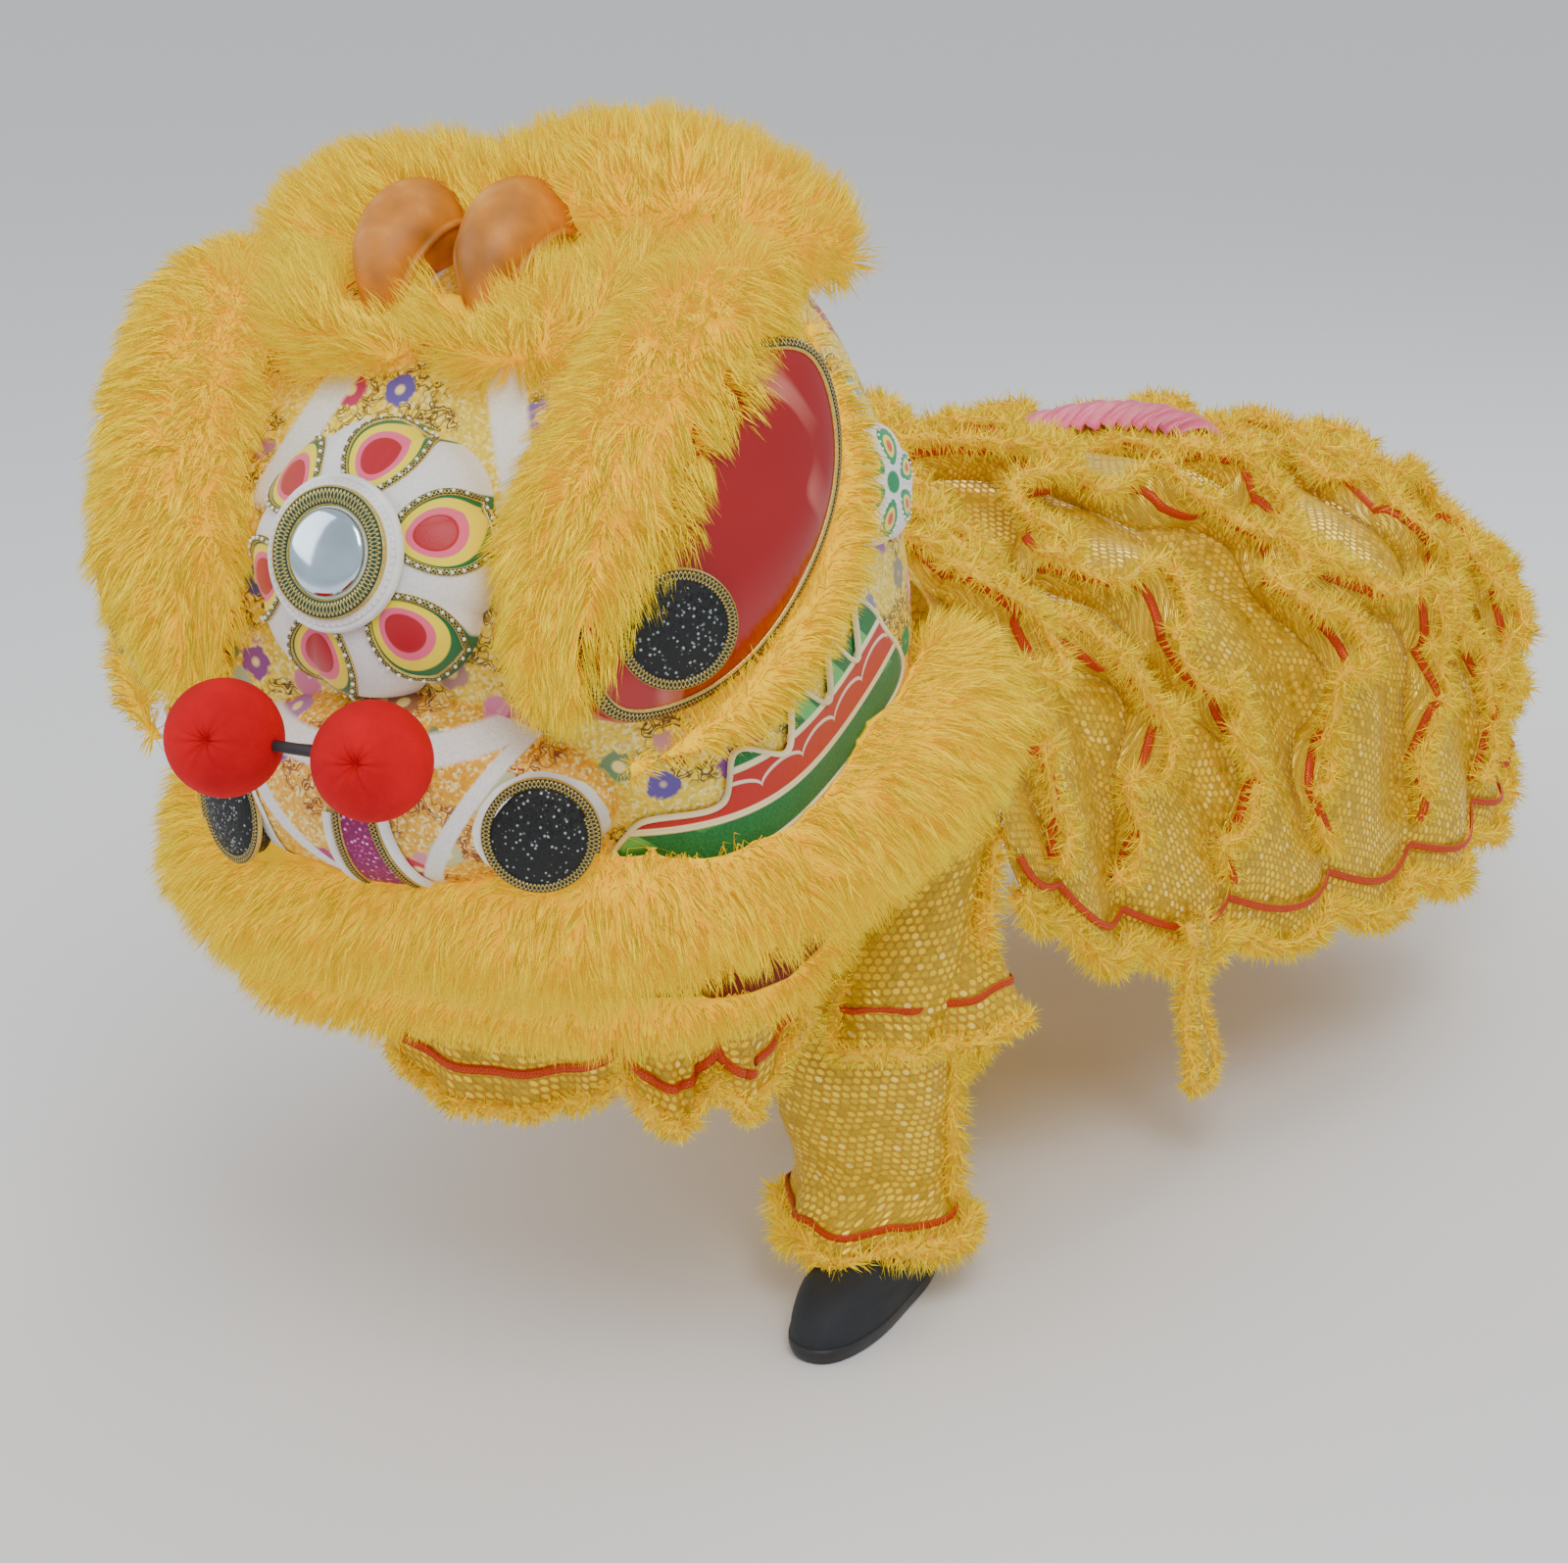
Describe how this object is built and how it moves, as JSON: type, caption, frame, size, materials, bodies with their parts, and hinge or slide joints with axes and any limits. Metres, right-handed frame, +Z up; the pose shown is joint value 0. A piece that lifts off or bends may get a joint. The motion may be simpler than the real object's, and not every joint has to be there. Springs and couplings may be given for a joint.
{
  "type": "lion dance costume",
  "caption": "Worn lion dance costume: fur-trimmed head with hinged lower jaw, ruffled cloth body, trousers and shoes.",
  "frame": {"origin": "middle of the hollow head, where the wearer's grip holds it up", "axes": "+Z up, +Y from the face to the rump, +X to the lion's left"},
  "size_m": [0.9942, 2.019, 1.2104],
  "materials": {
    "yellow_fur": "deep faux fur",
    "gold_print": "printed metallic cloth",
    "white_felt": "felt with a petal print",
    "mirror": "polished",
    "tan_leather": "soft leather",
    "red_vinyl": "glossy",
    "black_sequin": "sequins",
    "red_cloth": "matt cloth",
    "magenta_sequin": "sequins",
    "green_felt": "felt",
    "pink_satin": "gathered satin",
    "dark_metal": "matt",
    "dark_red_cloth": "matt cloth",
    "gold_sequin": "sequin mesh",
    "yellow_plush": "plush",
    "black_canvas": "canvas"
  },
  "bodies": {
    "costume": {"back_satin": "pink_satin", "body_cloth": "gold_sequin", "boss_disc": "white_felt", "brow_left": "yellow_fur", "brow_right": "yellow_fur", "cheek_left": "green_felt", "cheek_right": "green_felt", "crown_fur": "yellow_fur", "crown_satin": "pink_satin", "eye_fur_left": "yellow_fur", "eye_fur_right": "yellow_fur", "eye_left": "red_vinyl", "eye_right": "red_vinyl", "forehead_boss": "white_felt", "head_shell": "gold_print", "horn_fur": "yellow_fur", "horn_left": "tan_leather", "horn_right": "tan_leather", "lip_fur": "yellow_fur", "mirror": "mirror", "nose": "gold_print", "nose_strip": "magenta_sequin", "nostril_left": "black_sequin", "nostril_right": "black_sequin", "pompom_bar": "dark_metal", "pompom_left": "red_cloth", "pompom_right": "red_cloth", "pupil_left": "black_sequin", "pupil_right": "black_sequin", "ruffle_1": "yellow_plush", "ruffle_2": "yellow_plush", "ruffle_3": "yellow_plush", "ruffle_4": "yellow_plush", "ruffle_5": "yellow_plush", "ruffle_6": "yellow_plush", "ruffle_7": "yellow_plush", "ruffle_8": "yellow_plush", "shoe_left": "black_canvas", "shoe_right": "black_canvas", "side_strip": "yellow_plush", "temple_boss_left": "green_felt", "temple_boss_right": "green_felt", "trouser_flap": "gold_sequin", "trousers": "gold_sequin"},
    "jaw": {"jaw_plate": "dark_red_cloth", "jaw_fur": "yellow_fur", "apron": "gold_sequin"}
  },
  "joints": [
    {"name": "jaw_hinge", "type": "hinge", "parent": "costume", "child": "jaw", "pos_m": [0.01656, 0.06, -0.18928], "axis": [0.9962, 0, 0.0872], "range_deg": [0, 22]}
  ]
}
